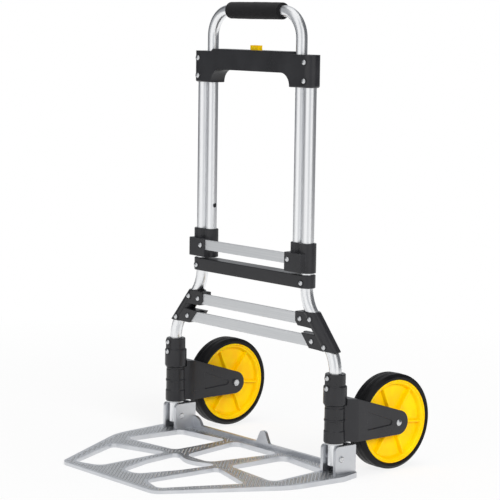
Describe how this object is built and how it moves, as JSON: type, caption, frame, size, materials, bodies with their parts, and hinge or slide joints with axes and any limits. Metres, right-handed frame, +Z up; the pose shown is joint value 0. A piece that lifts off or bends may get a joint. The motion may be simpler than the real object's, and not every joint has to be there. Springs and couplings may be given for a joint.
{
  "type": "folding hand truck",
  "caption": "Folding hand truck with bent tube legs, sliding handle with foam grip, cast toe plate that folds up and wheels that swing in with it.",
  "frame": {"origin": "on the floor, under the middle of the opened and collapsed truck's bounding box", "axes": "+Z up along the uprights, the toe plate points to -Y, +X to the truck's right as the plate points at the viewer's near side"},
  "size_m": [0.5214, 0.5344, 0.8145],
  "materials": {
    "tube_aluminium": "satin anodised round tube",
    "bar_aluminium": "matt anodised flat bar",
    "black_plastic": "fine-grained moulded nylon",
    "yellow_plastic": "smooth moulded yellow",
    "grey_nylon": "plain moulded nylon",
    "foam": "closed-cell foam",
    "tyre_rubber": "smooth black rubber",
    "cast_aluminium": "die-cast, knurled top, bright edges",
    "steel": "zinc plated"
  },
  "bodies": {
    "frame": {"leg_tube_left": "tube_aluminium", "leg_tube_right": "tube_aluminium", "housing_front": "black_plastic", "housing_rear": "black_plastic", "lower_beam": "black_plastic", "gusset_front_left": "black_plastic", "gusset_front_right": "black_plastic", "gusset_rear_left": "black_plastic", "gusset_rear_right": "black_plastic", "lower_cross_bar": "bar_aluminium", "upper_cross_bar": "bar_aluminium", "leg_collar_left": "black_plastic", "leg_collar_right": "black_plastic", "retaining_rings": "steel", "housing_rivets": "steel", "beam_rivets": "steel", "gusset_rivets": "steel", "collar_rivets": "steel"},
    "handle": {"handle_tube": "tube_aluminium", "grip": "foam", "slider_left": "black_plastic", "slider_right": "black_plastic", "slider_bar": "bar_aluminium", "slider_rivets": "steel"},
    "release_button": {"release_button": "yellow_plastic", "cam_plate": "grey_nylon", "button_spring": "steel"},
    "lock_pin_left": {"lock_pin_left": "steel", "lock_dowel_left": "steel"},
    "lock_pin_right": {"lock_pin_right": "steel", "lock_dowel_right": "steel"},
    "toe_plate": {"toe_plate": "cast_aluminium", "hinge_pin_left": "steel", "hinge_pin_right": "steel", "crank_pin_left": "steel", "crank_pin_right": "steel"},
    "lift_rod_left": {"lift_rod_left": "grey_nylon", "cam_pin_left": "steel"},
    "lift_rod_right": {"lift_rod_right": "grey_nylon", "cam_pin_right": "steel"},
    "fork_left": {"fork_left": "black_plastic", "axle_bolt_left": "steel", "axle_nut_left": "steel"},
    "fork_right": {"fork_right": "black_plastic", "axle_bolt_right": "steel", "axle_nut_right": "steel"},
    "wheel_left": {"wheel_hub_left": "yellow_plastic", "tyre_left": "tyre_rubber", "wheel_bush_left": "grey_nylon"},
    "wheel_right": {"wheel_hub_right": "yellow_plastic", "tyre_right": "tyre_rubber", "wheel_bush_right": "grey_nylon"}
  },
  "joints": [
    {"name": "handle_slide", "type": "slide", "parent": "frame", "child": "handle", "axis": [0, 0, 1], "range_m": [0, 0.264]},
    {"name": "button_press", "type": "slide", "parent": "frame", "child": "release_button", "axis": [0, 0, -1], "range_m": [0, 0.005], "stiffness_N_per_m": 900, "springref_m": -0.004, "deforming": ["button_spring"]},
    {"name": "lock_pin_left_draw", "type": "slide", "parent": "frame", "child": "lock_pin_left", "axis": [1, 0, 0], "range_m": [0, 0.005]},
    {"name": "lock_pin_right_draw", "type": "slide", "parent": "frame", "child": "lock_pin_right", "axis": [-1, 0, 0], "range_m": [0, 0.005]},
    {"name": "plate_fold", "type": "hinge", "parent": "frame", "child": "toe_plate", "pos_m": [0, 0.0548, 0.0345], "axis": [-1, 0, 0], "range_deg": [0, 90]},
    {"name": "lift_rod_left_slide", "type": "slide", "parent": "frame", "child": "lift_rod_left", "axis": [0, 0, -1], "range_m": [0, 0.0199]},
    {"name": "lift_rod_right_slide", "type": "slide", "parent": "frame", "child": "lift_rod_right", "axis": [0, 0, -1], "range_m": [0, 0.0199]},
    {"name": "fork_left_swing", "type": "hinge", "parent": "frame", "child": "fork_left", "pos_m": [-0.224, 0.0548, 0.092], "axis": [0, 0, -1], "range_deg": [0, 90]},
    {"name": "fork_right_swing", "type": "hinge", "parent": "frame", "child": "fork_right", "pos_m": [0.224, 0.0548, 0.092], "axis": [0, 0, 1], "range_deg": [0, 90]},
    {"name": "wheel_left_spin", "type": "hinge", "parent": "fork_left", "child": "wheel_left", "pos_m": [-0.2263, 0.1822, 0.085], "axis": [1, 0, 0], "continuous": true},
    {"name": "wheel_right_spin", "type": "hinge", "parent": "fork_right", "child": "wheel_right", "pos_m": [0.2263, 0.1822, 0.085], "axis": [1, 0, 0], "continuous": true}
  ],
  "couplings": [
    {"joint": "lock_pin_left_draw", "follows": "button_press", "ratio": 1},
    {"joint": "lock_pin_right_draw", "follows": "button_press", "ratio": 1},
    {"joint": "fork_left_swing", "follows": "plate_fold", "ratio": 1},
    {"joint": "fork_right_swing", "follows": "plate_fold", "ratio": 1},
    {"joint": "lift_rod_left_slide", "follows": "plate_fold", "m_per_rad": 0.012604},
    {"joint": "lift_rod_right_slide", "follows": "plate_fold", "m_per_rad": 0.012604}
  ]
}
